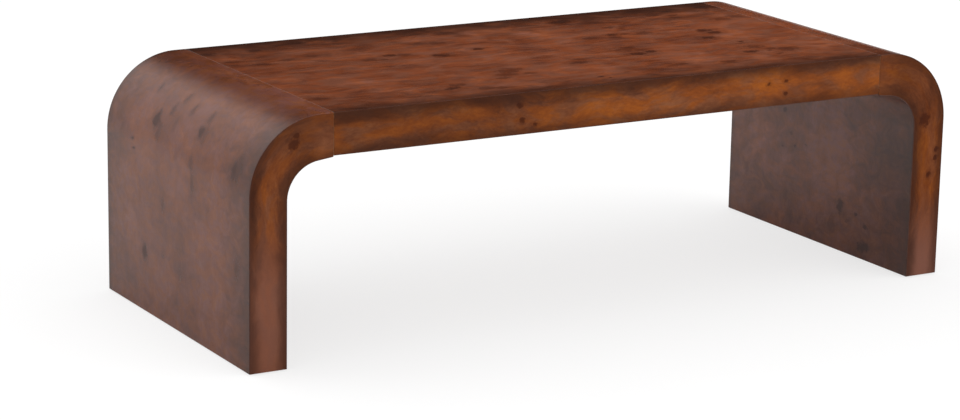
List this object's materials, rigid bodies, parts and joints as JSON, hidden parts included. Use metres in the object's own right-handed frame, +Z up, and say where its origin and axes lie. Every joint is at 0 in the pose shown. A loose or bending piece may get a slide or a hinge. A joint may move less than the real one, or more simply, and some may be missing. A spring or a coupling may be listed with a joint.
{
  "type": "coffee table",
  "caption": "Low rectangular coffee table whose thick burl-veneered top bends down at both ends into full-width panel legs.",
  "frame": {"origin": "on the floor under the middle of the table", "axes": "+X along the length to the right end, +Y across the depth to the back, +Z up"},
  "size_m": [1.365, 0.56, 0.4125],
  "materials": {
    "burl_top": "satin lacquer over red-brown burl veneer",
    "burl_leg_outside": "satin lacquer over brown burl veneer",
    "burl_leg_inside": "satin lacquer over dark brown burl veneer",
    "burl_underside": "matt lacquer over brown veneer",
    "burl_edge": "satin lacquer over amber-brown burl veneer, toned dark at its borders",
    "plywood": "raw bending plywood",
    "frame_wood": "planed poplar",
    "dowel_wood": "beech",
    "zinc_plated_steel": "zinc plated",
    "cast_zinc": "as cast",
    "cap_plastic": "dark brown, matt",
    "glide_plastic": "black nylon"
  },
  "bodies": {
    "root": {"bottom_skin": "plywood", "bottom_veneer": "burl_underside", "left_back_edge_veneer": "burl_edge", "left_back_former": "frame_wood", "left_cam_bolts": "zinc_plated_steel", "left_cam_caps": "cap_plastic", "left_cam_locks": "cast_zinc", "left_dowels": "dowel_wood", "left_end_rail": "frame_wood", "left_foot_rail": "frame_wood", "left_front_edge_veneer": "burl_edge", "left_front_former": "frame_wood", "left_glide_screws": "zinc_plated_steel", "left_glides": "glide_plastic", "left_inner_skin": "plywood", "left_inner_veneer": "burl_leg_inside", "left_outer_skin": "plywood", "left_outer_veneer": "burl_leg_outside", "left_ribs": "frame_wood", "left_seam_rail": "frame_wood", "right_back_edge_veneer": "burl_edge", "right_back_former": "frame_wood", "right_cam_bolts": "zinc_plated_steel", "right_cam_caps": "cap_plastic", "right_cam_locks": "cast_zinc", "right_dowels": "dowel_wood", "right_end_rail": "frame_wood", "right_foot_rail": "frame_wood", "right_front_edge_veneer": "burl_edge", "right_front_former": "frame_wood", "right_glide_screws": "zinc_plated_steel", "right_glides": "glide_plastic", "right_inner_skin": "plywood", "right_inner_veneer": "burl_leg_inside", "right_outer_skin": "plywood", "right_outer_veneer": "burl_leg_outside", "right_ribs": "frame_wood", "right_seam_rail": "frame_wood", "top_back_edge_veneer": "burl_edge", "top_back_rail": "frame_wood", "top_cross_ribs": "frame_wood", "top_front_edge_veneer": "burl_edge", "top_front_rail": "frame_wood", "top_skin": "plywood", "top_veneer": "burl_top"}
  },
  "joints": []
}
